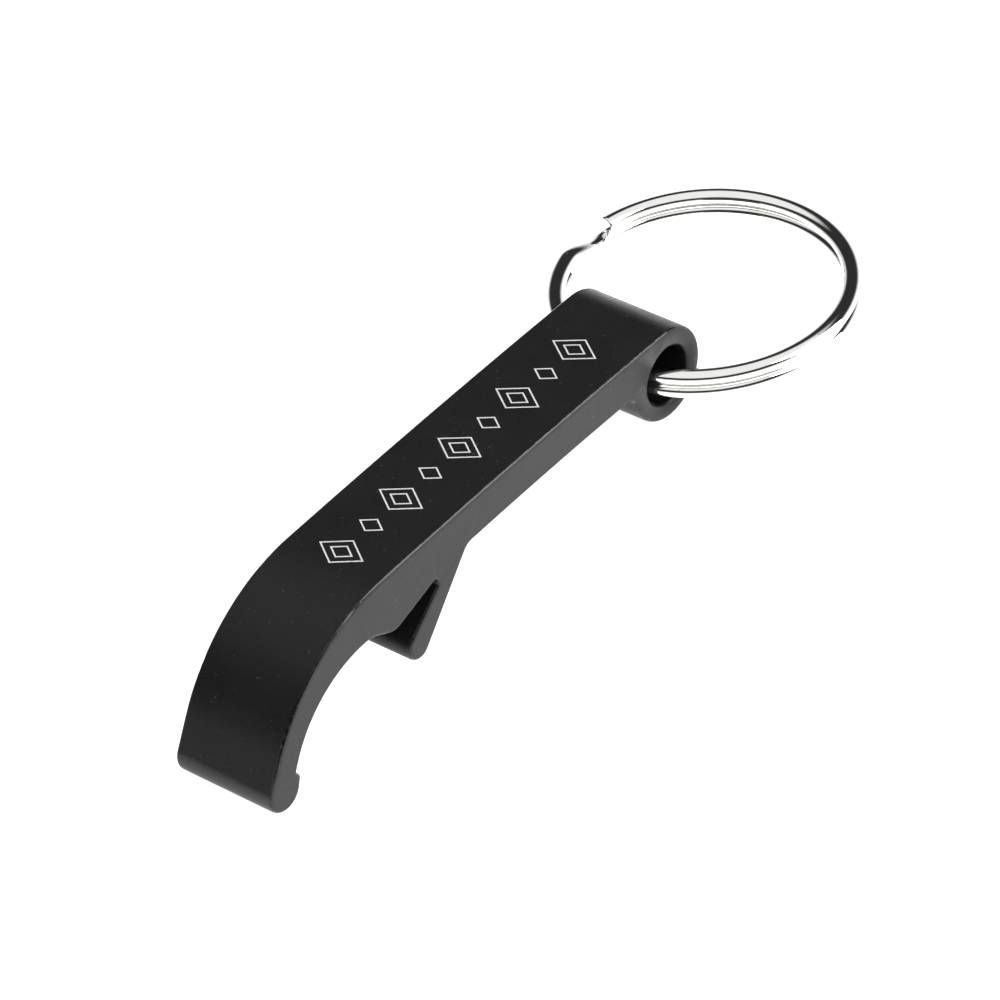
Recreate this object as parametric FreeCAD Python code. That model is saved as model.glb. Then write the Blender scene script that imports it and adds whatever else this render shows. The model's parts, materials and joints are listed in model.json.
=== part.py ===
import FreeCAD, Part

import math
import os

from FreeCAD import Vector

# Keychain bottle opener: a one-piece anodised opener body with a split ring through its eye.
# Millimetres, +Z up, the opener standing on a table as it does when it is put down:
# it rests on its hook tip (-X), on the underside of its eye (+X) and on the far side of the ring.
# The origin is on the table, under the middle of the whole object. The opener is the same
# all through its width, which is centred on the XZ plane.

# Opener body
body_width = 10.0                   # along Y
edge_round = 0.35                   # rounding of the edges round both side faces
eye_axis_x = 14.25                  # the eye's hole, from the origin
eye_axis_z = 4.08
eye_hole_radius = 2.55
eye_hole_chamfer = 0.35
top_arch_radius = 800.0             # the bar is very slightly bowed, above and below
underside_arch_radius = 500.0

# The outline's round stretches: centre X from the eye's axis, centre Z from the table, radius.
eye_end = (0.03, 4.21, 4.21)
hook_back = (-36.89, -4.59, 16.69)
hook_tip = (-50.67, 1.8, 1.8)
lip_nose = (-49.13, 1.9, 0.45)      # the lip that catches a cap's rim
lip_recess = (-48.75, 2.55, 0.2)    # the step above the lip
cap_arch = (-39.9, -2.56, 10.4)
cap_roof_radius = 3.5               # continues the cap arch, more tightly
cap_roof_direction = 84.0           # degrees, seen from the cap arch's centre
cap_pad = (-35.15, 8.09, 1.9)       # the bulge that presses on the middle of a cap
throat = (-30.3, 6.65, 0.42)        # inner end of the notch behind the cap pad
tooth_tip = (-33.4, 2.6, 1.3)
tooth_heel = (-25.45, 6.1, 1.26)
eye_neck = (-5.4, 4.08, 1.2)
shortest_straight = 0.001           # circles that touch are joined with no straight between them

# Split ring: a flattened wire wound twice round, with one step where the turns change places
ring_radius = 12.4                  # to the middle of the wire
wire_width = 1.6                    # along the ring's radius
wire_thickness = 1.26
turn_gap = 0.06                     # between the two turns
wire_to_eye_axis = 1.52             # the ring lies against the hook side of the eye's hole
ring_offset_y = -0.36               # a loose ring lies a little to one side
step_start = 81.0                   # degrees round the ring, from +X towards +Y
step_end = 106.0
step_inset = 0.3                    # the step runs nearly straight, inside the rest of the ring
cut_gap = 1.5                       # degrees between the step and the wire's cut ends
step_points = 9


def arched_over(first, second, radius):
    """The large circle, bowed upwards, that both given circles touch from inside."""
    (x1, z1, r1), (x2, z2, r2) = first, second
    apart = math.hypot(x2 - x1, z2 - z1)
    ux, uz = (x2 - x1) / apart, (z2 - z1) / apart
    along = ((radius - r1)**2 - (radius - r2)**2 + apart**2) / (2 * apart)
    below = math.sqrt((radius - r1)**2 - along**2)
    down = math.copysign(1, ux)
    return x1 + along * ux + below * down * uz, z1 + along * uz - below * down * ux, radius


def on_circle(circle, turn, heading):
    """The point where a path round the circle, turning left (1) or right (-1), has this heading."""
    x, z, radius = circle
    return Vector(x + turn * radius * math.sin(heading), 0, z - turn * radius * math.cos(heading))


def belt(stretches):
    """A closed outline round circles given in order, each with its turn, joined by straight tangents."""
    headings = []
    for (this, turn), (after, next_turn) in zip(stretches, stretches[1:] + stretches[:1]):
        dx, dz = after[0] - this[0], after[1] - this[1]
        swap = next_turn * after[2] - turn * this[2]
        straight = math.sqrt(max(dx * dx + dz * dz - swap * swap, 0))
        if straight < shortest_straight:
            straight = 0
        headings.append(math.atan2(dz, dx) - math.atan2(swap, straight))
    edges = []
    for i, (circle, turn) in enumerate(stretches):
        swing = turn * ((headings[i] - headings[i - 1]) * turn % (2 * math.pi))
        ends = [on_circle(circle, turn, headings[i - 1] + swing * share) for share in (0, 0.5, 1)]
        edges.append(Part.Arc(*ends).toShape())
        after, next_turn = stretches[(i + 1) % len(stretches)]
        onward = on_circle(after, next_turn, headings[i])
        if ends[2].distanceToPoint(onward) > shortest_straight:
            edges.append(Part.makeLine(ends[2], onward))
    return Part.Wire(Part.__sortEdges__(edges))


def body_outline():
    """The opener's side view, counter-clockwise from the eye, with X from the eye's axis."""
    x, z, radius = cap_arch
    inward = radius - cap_roof_radius
    direction = math.radians(cap_roof_direction)
    cap_roof = (x + inward * math.cos(direction), z + inward * math.sin(direction), cap_roof_radius)
    bulges, hollows = 1, -1
    return belt([
        (eye_end, bulges),
        (arched_over(eye_end, hook_back, top_arch_radius), bulges),
        (hook_back, bulges),
        (hook_tip, bulges),
        (lip_nose, bulges),
        (lip_recess, hollows),
        (cap_arch, hollows),
        (cap_roof, hollows),
        (cap_pad, bulges),
        (throat, hollows),
        (tooth_tip, bulges),
        (tooth_heel, hollows),
        (arched_over(tooth_heel, eye_neck, underside_arch_radius), hollows),
        (eye_neck, hollows),
    ])


def opener_body():
    outline = body_outline()
    outline.translate(Vector(eye_axis_x, -body_width / 2, 0))
    solid = Part.Face(outline).extrude(Vector(0, body_width, 0))
    rims = [edge for edge in solid.Edges if edge.BoundBox.YLength < shortest_straight]
    solid = solid.makeFillet(edge_round, rims)
    start = Vector(eye_axis_x, -body_width, eye_axis_z)
    solid = solid.cut(Part.makeCylinder(eye_hole_radius, 2 * body_width, start, Vector(0, 1, 0)))
    mouths = [edge for edge in solid.Edges if edge.Closed and edge.Curve.TypeId == "Part::GeomCircle"]
    return solid.makeChamfer(eye_hole_chamfer, mouths)


def wire_section(level):
    """The flattened wire's section in the ring's XZ plane, flat above and below with round sides."""
    half = wire_thickness / 2
    flat = wire_width / 2 - half
    left, right = ring_radius - flat, ring_radius + flat
    return Part.Wire([
        Part.makeLine(Vector(left, 0, level - half), Vector(right, 0, level - half)),
        Part.Arc(Vector(right, 0, level - half), Vector(right + half, 0, level),
                 Vector(right, 0, level + half)).toShape(),
        Part.makeLine(Vector(right, 0, level + half), Vector(left, 0, level + half)),
        Part.Arc(Vector(left, 0, level + half), Vector(left - half, 0, level),
                 Vector(left, 0, level - half)).toShape(),
    ])


def turn_of_wire(level, start, end):
    """One turn of the ring at its level, from one angle to another, both in degrees."""
    section = Part.Face(wire_section(level))
    section.rotate(Vector(), Vector(0, 0, 1), start)
    return section.revolve(Vector(), Vector(0, 0, 1), end - start)


def step_of_wire(level):
    """The short slope that takes the wire from the lower turn to the upper one."""
    route = []
    for i in range(step_points):
        share = i / (step_points - 1)
        angle = math.radians(step_start + share * (step_end - step_start))
        rise = share * share * (3 - 2 * share)
        height = level * (2 * rise - 1)
        radius = ring_radius - step_inset * math.sin(math.pi * share)**2
        route.append(Vector(radius * math.cos(angle), radius * math.sin(angle), height))
    curve = Part.BSplineCurve()
    first, last = math.radians(step_start), math.radians(step_end)
    curve.interpolate(Points=route, InitialTangent=Vector(-math.sin(first), math.cos(first), 0),
                      FinalTangent=Vector(-math.sin(last), math.cos(last), 0))
    section = wire_section(-level)
    section.rotate(Vector(), Vector(0, 0, 1), step_start)
    sweep = Part.BRepOffsetAPI.MakePipeShell(Part.Wire(curve.toShape()))
    sweep.setBiNormalMode(Vector(0, 0, 1))
    sweep.add(section)
    sweep.build()
    sweep.makeSolid()
    return sweep.shape()


def split_ring():
    """The ring, tilted so that it passes through the eye and its far side lies on the table."""
    level = (wire_thickness + turn_gap) / 2
    lower = turn_of_wire(-level, step_end + cut_gap, step_start + 360)
    upper = turn_of_wire(level, step_end, step_start + 360 - cut_gap)
    ring = lower.fuse([step_of_wire(level), upper]).removeSplitter()
    half = wire_thickness / 2
    reach = 2 * ring_radius + wire_width / 2 - half
    tilt = math.asin((eye_axis_z - half) / math.hypot(reach, level)) - math.atan2(level, reach)
    ring.rotate(Vector(), Vector(0, 1, 0), math.degrees(tilt))
    ring.translate(Vector(eye_axis_x - wire_to_eye_axis + ring_radius * math.cos(tilt),
                          ring_offset_y, eye_axis_z - ring_radius * math.sin(tilt)))
    return ring.Solids[0]


os.makedirs("parts", exist_ok=True)
for name, shape in (("opener_body", opener_body()), ("split_ring", split_ring())):
    box = shape.BoundBox
    print(name, "valid", shape.isValid(), "solids", len(shape.Solids), "volume", round(shape.Volume, 1),
          "X", round(box.XMin, 2), round(box.XMax, 2), "Y", round(box.YMin, 2), round(box.YMax, 2),
          "Z", round(box.ZMin, 3), round(box.ZMax, 2))
    shape.exportStep("parts/" + name + ".step")
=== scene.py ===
import json
import math

import bmesh
import bpy
from mathutils import Matrix, Vector
from mathutils.bvhtree import BVHTree


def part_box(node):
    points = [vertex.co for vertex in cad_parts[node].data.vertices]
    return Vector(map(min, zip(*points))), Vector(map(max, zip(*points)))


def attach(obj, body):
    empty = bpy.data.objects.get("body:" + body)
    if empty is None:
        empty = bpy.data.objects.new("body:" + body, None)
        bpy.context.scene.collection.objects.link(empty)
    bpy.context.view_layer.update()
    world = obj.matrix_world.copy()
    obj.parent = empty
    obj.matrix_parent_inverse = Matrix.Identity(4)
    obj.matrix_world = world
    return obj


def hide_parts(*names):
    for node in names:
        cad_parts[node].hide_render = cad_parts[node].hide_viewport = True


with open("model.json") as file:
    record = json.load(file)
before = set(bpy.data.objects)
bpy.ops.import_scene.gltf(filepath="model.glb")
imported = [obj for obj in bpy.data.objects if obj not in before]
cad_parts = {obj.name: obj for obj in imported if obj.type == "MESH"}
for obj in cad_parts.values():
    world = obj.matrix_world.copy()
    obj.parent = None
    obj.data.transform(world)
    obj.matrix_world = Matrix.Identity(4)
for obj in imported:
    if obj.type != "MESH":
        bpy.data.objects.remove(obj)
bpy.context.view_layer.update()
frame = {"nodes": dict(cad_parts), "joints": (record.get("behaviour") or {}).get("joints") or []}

# Keychain bottle opener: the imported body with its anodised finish, a wound wire in place of the
# plain split ring, and a row of etched diamonds on the bar. Metres, in the frame of the parts.

body = frame["nodes"]["opener_body"]
ring_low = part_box("split_ring")[0]
eye_axis = Vector(frame["joints"][0]["pos_m"])

MM = 0.001

# Camera: a long lens, looking down on the top and one side face
view_azimuth = -42.8                # degrees
view_elevation = 43.42
view_roll = 13.02
view_lens = 219.6
view_sensor = 36
view_clip = (0.01, 20)
view_distance = 490.9 * MM
view_aim = Vector((-4.87, -2.475, 5.28)) * MM


def make_camera():
    azimuth, elevation, roll = (math.radians(a) for a in (view_azimuth, view_elevation, view_roll))
    back = Vector((math.sin(azimuth) * math.cos(elevation),
                   -math.cos(azimuth) * math.cos(elevation), math.sin(elevation)))
    level_right = Vector((math.cos(azimuth), math.sin(azimuth), 0))
    level_up = back.cross(level_right)
    right = math.cos(roll) * level_right - math.sin(roll) * level_up
    up = math.sin(roll) * level_right + math.cos(roll) * level_up
    data = bpy.data.cameras.new("camera")
    data.lens = view_lens
    data.sensor_width = view_sensor
    data.clip_start, data.clip_end = view_clip
    camera = bpy.data.objects.new("camera", data)
    bpy.context.scene.collection.objects.link(camera)
    place = Matrix((right, up, back)).transposed().to_4x4()
    place.translation = view_aim + back * view_distance
    camera.matrix_world = place
    bpy.context.scene.camera = camera


# Node helpers
def new_material(name):
    material = bpy.data.materials.new(name)
    material.use_nodes = True
    return material, material.node_tree.nodes, material.node_tree.links


def add_noise(nodes, links, vector, scale, detail=2.0, roughness=0.5):
    noise = nodes.new("ShaderNodeTexNoise")
    noise.inputs["Scale"].default_value = scale
    noise.inputs["Detail"].default_value = detail
    noise.inputs["Roughness"].default_value = roughness
    links.new(vector, noise.inputs["Vector"])
    return noise.outputs["Fac"]


def add_range(nodes, links, value, low, high, to_low=0.0, to_high=1.0):
    """Maps low..high to to_low..to_high, eased at both ends and clamped."""
    node = nodes.new("ShaderNodeMapRange")
    node.interpolation_type = "SMOOTHSTEP"
    for socket, number in zip(("From Min", "From Max", "To Min", "To Max"), (low, high, to_low, to_high)):
        node.inputs[socket].default_value = number
    links.new(value, node.inputs["Value"])
    return node.outputs["Result"]


def add_math(nodes, links, operation, first, second=None):
    node = nodes.new("ShaderNodeMath")
    node.operation = operation
    for socket, value in zip(node.inputs, (first, second)):
        if isinstance(value, (int, float)):
            socket.default_value = value
        elif value is not None:
            links.new(value, socket)
    return node.outputs["Value"]


def add_mix(nodes, links, factor, first, second):
    """A colour between first and second."""
    node = nodes.new("ShaderNodeMix")
    node.data_type = "RGBA"
    links.new(factor, node.inputs["Factor"])
    for socket, value in ((node.inputs[6], first), (node.inputs[7], second)):
        if isinstance(value, tuple):
            socket.default_value = value
        else:
            links.new(value, socket)
    return node.outputs[2]


def add_bump(nodes, links, height, strength, distance, onto=None):
    bump = nodes.new("ShaderNodeBump")
    bump.inputs["Strength"].default_value = strength
    bump.inputs["Distance"].default_value = distance
    links.new(height, bump.inputs["Height"])
    if onto is not None:
        links.new(onto, bump.inputs["Normal"])
    return bump.outputs["Normal"]


# Black anodising. Scales are noise cells to the metre, and reliefs are depths.
dark_dye, faded_dye = (0.0030, 0.0030, 0.0031, 1), (0.0056, 0.0055, 0.0054, 1)
rubbed_dye, speck_dye = (0.018, 0.018, 0.0175, 1), (0.035, 0.034, 0.033, 1)
anodised_specular = 0.33
edge_polish = 0.19                  # how much less rough the edges are
grain_scale, pebble_scale, wave_scale = 7000, 2300, 750
patch_scale, cloud_scale, speck_scale = 900, 160, 2600
grain_relief, pebble_relief, wave_relief = 0.014 * MM, 0.03 * MM, 0.13 * MM
hole_rim_start, hole_rim_end = 3.0 * MM, 3.3 * MM       # from the eye's axis


def side_edges(nodes, links, place):
    """1 on the rounded edges of the side faces, 0 on the faces and on the rim of the eye's hole."""
    normal = nodes.new("ShaderNodeSeparateXYZ")
    links.new(place.outputs["Normal"], normal.inputs["Vector"])
    facing = add_math(nodes, links, "ABSOLUTE", normal.outputs["Y"])
    edge = add_math(nodes, links, "MULTIPLY", add_range(nodes, links, facing, 0.12, 0.4),
                    add_range(nodes, links, facing, 0.8, 0.98, 1.0, 0.0))
    side_view = nodes.new("ShaderNodeVectorMath")
    side_view.operation = "MULTIPLY"
    side_view.inputs[1].default_value = (1, 0, 1)
    links.new(place.outputs["Object"], side_view.inputs[0])
    from_eye = nodes.new("ShaderNodeVectorMath")
    from_eye.operation = "DISTANCE"
    from_eye.inputs[1].default_value = (eye_axis.x, 0, eye_axis.z)
    links.new(side_view.outputs["Vector"], from_eye.inputs[0])
    outside_hole = add_range(nodes, links, from_eye.outputs["Value"], hole_rim_start, hole_rim_end)
    return add_math(nodes, links, "MULTIPLY", edge, outside_hole)


def anodised_black():
    """Fine bead-blasted black anodising, rubbed smoother and a little paler along the edges."""
    material, nodes, links = new_material("black_anodised")
    shader = nodes["Principled BSDF"]
    shader.inputs["Specular IOR Level"].default_value = anodised_specular
    place = nodes.new("ShaderNodeTexCoord")
    spot = place.outputs["Object"]
    edge = side_edges(nodes, links, place)
    patches = add_noise(nodes, links, spot, patch_scale, 4, 0.65)
    rubbed = add_math(nodes, links, "MULTIPLY", edge, add_range(nodes, links, patches, 0.42, 0.66))
    cloud = add_noise(nodes, links, spot, cloud_scale, 3, 0.6)
    grain = add_noise(nodes, links, spot, grain_scale, 2, 0.6)
    specks = add_range(nodes, links, add_noise(nodes, links, spot, speck_scale, 1, 0.5), 0.715, 0.78)

    dye = add_mix(nodes, links, cloud, dark_dye, faded_dye)
    dye = add_mix(nodes, links, rubbed, dye, rubbed_dye)
    dye = add_mix(nodes, links, specks, dye, speck_dye)
    links.new(dye, shader.inputs["Base Color"])

    gloss = add_math(nodes, links, "ADD", add_range(nodes, links, grain, 0.3, 0.7, 0.34, 0.44),
                     add_range(nodes, links, cloud, 0.35, 0.65, -0.02, 0.02))
    gloss = add_math(nodes, links, "SUBTRACT", gloss, add_math(nodes, links, "MULTIPLY", edge, edge_polish))
    links.new(gloss, shader.inputs["Roughness"])

    pebbles = add_noise(nodes, links, spot, pebble_scale, 2, 0.5)
    waves = add_math(nodes, links, "MULTIPLY", add_noise(nodes, links, spot, wave_scale, 2, 0.5), edge)
    blasted = add_bump(nodes, links, grain, 0.6, grain_relief)
    pebbled = add_bump(nodes, links, pebbles, 0.3, pebble_relief, blasted)
    links.new(add_bump(nodes, links, waves, 0.6, wave_relief, pebbled), shader.inputs["Normal"])
    return material


# Nickel plate
dull_plate, bright_plate = (0.80, 0.79, 0.77, 1), (0.90, 0.895, 0.885, 1)
pit_colour = (0.42, 0.41, 0.40, 1)
pit_scale, haze_scale = 1500, 300
line_relief, haze_relief = 0.01 * MM, 0.03 * MM


def bright_nickel():
    """Polished nickel plate, faintly drawn along the wire, with a slight haze and tiny pits."""
    material, nodes, links = new_material("bright_nickel")
    shader = nodes["Principled BSDF"]
    shader.inputs["Metallic"].default_value = 1
    wire = nodes.new("ShaderNodeAttribute")
    wire.attribute_name = "along_wire"
    spot = nodes.new("ShaderNodeTexCoord").outputs["Object"]
    drawn = add_noise(nodes, links, wire.outputs["Vector"], 1.0, 3, 0.6)
    pits = add_range(nodes, links, add_noise(nodes, links, spot, pit_scale, 2, 0.6), 0.70, 0.78)
    haze = add_noise(nodes, links, spot, haze_scale, 3, 0.6)
    plate = add_mix(nodes, links, haze, dull_plate, bright_plate)
    links.new(add_mix(nodes, links, pits, plate, pit_colour), shader.inputs["Base Color"])
    gloss = add_math(nodes, links, "ADD", add_range(nodes, links, drawn, 0.35, 0.7, 0.035, 0.10),
                     add_math(nodes, links, "MULTIPLY", pits, 0.25))
    links.new(gloss, shader.inputs["Roughness"])
    lines = add_bump(nodes, links, drawn, 0.12, line_relief)
    links.new(add_bump(nodes, links, haze, 0.25, haze_relief, lines), shader.inputs["Normal"])
    return material


# Etched marking
grey_frost, white_frost = (0.52, 0.52, 0.51, 1), (0.82, 0.82, 0.81, 1)
frost_scale = 5000
frost_relief = 0.01 * MM


def etched_aluminium():
    """Aluminium laid bare and frosted white by a laser."""
    material, nodes, links = new_material("etched_aluminium")
    shader = nodes["Principled BSDF"]
    spot = nodes.new("ShaderNodeTexCoord").outputs["Object"]
    frost = add_noise(nodes, links, spot, frost_scale, 3, 0.6)
    links.new(add_mix(nodes, links, frost, grey_frost, white_frost), shader.inputs["Base Color"])
    links.new(add_range(nodes, links, frost, 0.3, 0.7, 0.45, 0.7), shader.inputs["Roughness"])
    links.new(add_bump(nodes, links, frost, 0.3, frost_relief), shader.inputs["Normal"])
    return material


# Split ring, with the CAD ring's sizes
wire_width = 1.6 * MM
wire_thickness = 1.26 * MM
wire_squareness = 2 / 2.05          # power of the section's curve; 1 is an ellipse
section_points = 36
turn_gap = 0.06 * MM
wire_to_eye_axis = 1.52 * MM
ring_offset_y = -0.36 * MM
step_start, step_end, cut_gap = 81.0, 106.0, 1.5    # degrees
step_inset = 0.3 * MM
cut_bevel = 0.09 * MM
ring_steps = 720
tangent_reach = 0.1                 # degrees each way, to find the wire's direction
drawn_along, drawn_round = 0.12, 9  # noise cells of the drawn lines, to a step and round the wire


def wire_outline():
    """The flattened wire's rounded section, as (outward, upward) pairs."""
    outline = []
    for i in range(section_points):
        turn = 2 * math.pi * i / section_points
        across, up = math.cos(turn), math.sin(turn)
        outline.append((wire_width / 2 * math.copysign(abs(across)**wire_squareness, across),
                        wire_thickness / 2 * math.copysign(abs(up)**wire_squareness, up)))
    return outline


def wire_centre(degrees, radius, level):
    """The wire's middle at an angle counted on through both turns, in the ring's own frame."""
    share = min(max((degrees - step_start - 360) / (step_end - step_start), 0), 1)
    height = level * (2 * share * share * (3 - 2 * share) - 1)
    inset = radius - step_inset * math.sin(math.pi * share)**2
    angle = math.radians(degrees)
    return Vector((inset * math.cos(angle), inset * math.sin(angle), height))


def wire_stations(radius):
    """Angles along the whole wire, each with its section's share of full size: less at the cut ends."""
    first, last = step_end + cut_gap, step_start - cut_gap + 720
    bevel = math.degrees(cut_bevel / radius)
    cut_share = 1 - cut_bevel / (wire_thickness / 2)
    stations = [(first, cut_share), (first + bevel, 1)]
    for i in range(1, ring_steps):
        stations.append((first + (last - first) * i / ring_steps, 1))
    return stations + [(last - bevel, 1), (last, cut_share)]


def wire_mesh(outline, radius, level):
    """The wound wire, closed at both ends, in the ring's own frame."""
    mesh = bmesh.new()
    rows = []
    for degrees, shrink in wire_stations(radius):
        middle = wire_centre(degrees, radius, level)
        ahead = wire_centre(degrees + tangent_reach, radius, level)
        along = ahead - wire_centre(degrees - tangent_reach, radius, level)
        outward = along.cross(Vector((0, 0, 1))).normalized()
        upward = outward.cross(along).normalized()
        rows.append([mesh.verts.new(middle + shrink * (outward * a + upward * b)) for a, b in outline])
    for row, after in zip(rows, rows[1:]):
        for j in range(len(outline)):
            k = (j + 1) % len(outline)
            mesh.faces.new((row[j], row[k], after[k], after[j]))
    ends = [mesh.faces.new(rows[0][::-1]), mesh.faces.new(rows[-1])]
    bmesh.ops.recalc_face_normals(mesh, faces=mesh.faces)
    for face in mesh.faces:
        face.smooth = face not in ends
    data = bpy.data.meshes.new("ring_wire")
    mesh.to_mesh(data)
    mesh.free()
    return data


def mark_along_wire(data, points_round):
    """Stores where each point lies along and round the wire, which the drawn lines follow."""
    along_wire = data.attributes.new("along_wire", "FLOAT_VECTOR", "POINT")
    for i, item in enumerate(along_wire.data):
        row, j = divmod(i, points_round)
        turn = 2 * math.pi * j / points_round
        item.vector = (drawn_along * row, drawn_round * math.cos(turn), drawn_round * math.sin(turn))


def make_ring():
    """The ring as it lies: through the eye, tilted until its far side is on the table."""
    radius = ring_offset_y - ring_low.y - wire_width / 2
    half = wire_thickness / 2
    level = half + turn_gap / 2
    reach = 2 * radius + wire_width / 2 - half
    tilt = math.asin((eye_axis.z - half) / math.hypot(reach, level)) - math.atan2(level, reach)
    centre = Vector((eye_axis.x - wire_to_eye_axis + radius * math.cos(tilt),
                     ring_offset_y, eye_axis.z - radius * math.sin(tilt)))
    outline = wire_outline()
    data = wire_mesh(outline, radius, level)
    mark_along_wire(data, len(outline))
    data.transform(Matrix.Translation(centre) @ Matrix.Rotation(tilt, 4, "Y"))
    ring = bpy.data.objects.new("ring_wire", data)
    bpy.context.scene.collection.objects.link(ring)
    ring.data.materials.append(bright_nickel())
    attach(ring, "ring")
    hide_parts("split_ring")


# Motif on the bar's top, where such openers carry an engraving: plain diamonds, large and small
motif_count = 9
motif_pitch = 3.7 * MM
motif_centre_x = -5.6 * MM
motif_sizes = ((3.1 * MM, 4.6 * MM), (1.7 * MM, 2.5 * MM))     # along the bar, across it
motif_line = 0.13 * MM
motif_stroke = 0.62 * MM            # between the outer and the inner line of a large diamond
motif_rise, motif_sink = 0.012 * MM, 0.03 * MM
motif_pieces = 6                    # of each side, to follow the bowed top
above_bar = 1                       # a height clear of the bar, to look down on it from
diamond_corners = ((1, 0), (0, 1), (-1, 0), (0, -1))


def diamond_share(width, along, across):
    """The share of a diamond's size that a line of this width takes up inside its sides."""
    return 2 * width * math.hypot(1 / along, 1 / across)


def diamond_points():
    """Points round a diamond that reaches 1 along each axis."""
    points = []
    for (x1, y1), (x2, y2) in zip(diamond_corners, diamond_corners[1:] + diamond_corners[:1]):
        for i in range(motif_pieces):
            part = i / motif_pieces
            points.append((x1 + (x2 - x1) * part, y1 + (y2 - y1) * part))
    return points


def add_diamond_line(mesh, surface, x, along, across):
    """A thin closed line in the shape of a diamond, following the bar's top."""
    upward = Vector((0, 0, 1))
    points = diamond_points()
    inside = 1 - diamond_share(motif_line, along, across)
    loops = []
    for share, lift in ((1, motif_rise), (inside, motif_rise), (inside, -motif_sink), (1, -motif_sink)):
        loop = []
        for side_x, side_y in points:
            spot = Vector((x + side_x * share * along / 2, side_y * share * across / 2, above_bar))
            hit = surface.ray_cast(spot, -upward)[0]
            loop.append(mesh.verts.new(hit + upward * lift))
        loops.append(loop)
    for loop, after in zip(loops, loops[1:] + loops[:1]):
        for i in range(len(points)):
            j = (i + 1) % len(points)
            mesh.faces.new((loop[i], loop[j], after[j], after[i]))


def make_motif():
    corners = [vertex.co for vertex in body.data.vertices]
    surface = BVHTree.FromPolygons(corners, [polygon.vertices for polygon in body.data.polygons])
    mesh = bmesh.new()
    for i in range(motif_count):
        x = motif_centre_x + (i - (motif_count - 1) / 2) * motif_pitch
        along, across = motif_sizes[i % 2]
        add_diamond_line(mesh, surface, x, along, across)
        if i % 2 == 0:
            inner = 1 - diamond_share(motif_stroke, along, across)
            add_diamond_line(mesh, surface, x, along * inner, across * inner)
    bmesh.ops.recalc_face_normals(mesh, faces=mesh.faces)
    data = bpy.data.meshes.new("diamond_motif")
    mesh.to_mesh(data)
    mesh.free()
    motif = bpy.data.objects.new("diamond_motif", data)
    bpy.context.scene.collection.objects.link(motif)
    motif.data.materials.append(etched_aluminium())
    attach(motif, "opener")


# Body
weld_distance = 0.000001


def finish_body():
    body.data.materials.clear()
    body.data.materials.append(anodised_black())
    weld = body.modifiers.new("weld", "WELD")
    weld.merge_threshold = weld_distance
    for polygon in body.data.polygons:
        polygon.use_smooth = True
    normals = body.modifiers.new("normals", "WEIGHTED_NORMAL")
    normals.keep_sharp = True


# Studio
floor_reach = 3.0
floor_grey = (0.85, 0.85, 0.85, 1)
floor_glow = 0.95                   # enough for the floor to stay white under the object
light_place = (0.42, -0.58, 0.45)
light_size = 0.6
light_power = 9.0
wall_top_start, wall_top_end = 0.10, 0.36               # heights as the Z of the direction looked in
ceiling_start, ceiling_full = 0.64, 0.78
wall_glow, band_glow, ceiling_glow = 0.85, 0.03, 1.0


def make_floor():
    data = bpy.data.meshes.new("floor")
    corners = [(x * floor_reach, y * floor_reach, 0) for x, y in ((-1, -1), (1, -1), (1, 1), (-1, 1))]
    data.from_pydata(corners, [], [(0, 1, 2, 3)])
    floor = bpy.data.objects.new("floor", data)
    bpy.context.scene.collection.objects.link(floor)
    material, nodes, links = new_material("pale_floor")
    shader = nodes["Principled BSDF"]
    shader.inputs["Base Color"].default_value = floor_grey
    shader.inputs["Roughness"].default_value = 0.8
    shader.inputs["Specular IOR Level"].default_value = 0.1
    shader.inputs["Emission Color"].default_value = (1, 1, 1, 1)
    shader.inputs["Emission Strength"].default_value = floor_glow
    floor.data.materials.append(material)


def make_light():
    """A square soft box beside the eye end, aimed at the middle of the object."""
    data = bpy.data.lights.new("front_right", "AREA")
    data.shape = "RECTANGLE"
    data.size = data.size_y = light_size
    data.energy = light_power
    light = bpy.data.objects.new("front_right", data)
    bpy.context.scene.collection.objects.link(light)
    light.location = light_place
    light.rotation_euler = Vector(light_place).to_track_quat("Z", "Y").to_euler()
    light.visible_camera = False


def make_world():
    """A white ceiling and low wall with a dark band between, which gives polished metal its lines."""
    world = bpy.data.worlds.new("studio")
    bpy.context.scene.world = world
    world.use_nodes = True
    nodes, links = world.node_tree.nodes, world.node_tree.links
    direction = nodes.new("ShaderNodeSeparateXYZ")
    links.new(nodes.new("ShaderNodeTexCoord").outputs["Generated"], direction.inputs["Vector"])
    height = direction.outputs["Z"]
    ceiling = add_range(nodes, links, height, ceiling_start, ceiling_full, band_glow, ceiling_glow)
    low_wall = add_range(nodes, links, height, wall_top_start, wall_top_end, wall_glow, 0.0)
    links.new(add_math(nodes, links, "ADD", ceiling, low_wall), nodes["Background"].inputs["Strength"])
    nodes["Background"].inputs["Color"].default_value = (1, 1, 1, 1)


make_camera()
make_world()
make_light()
make_floor()
finish_body()
make_ring()
make_motif()
bpy.context.scene.view_settings.view_transform = "Standard"
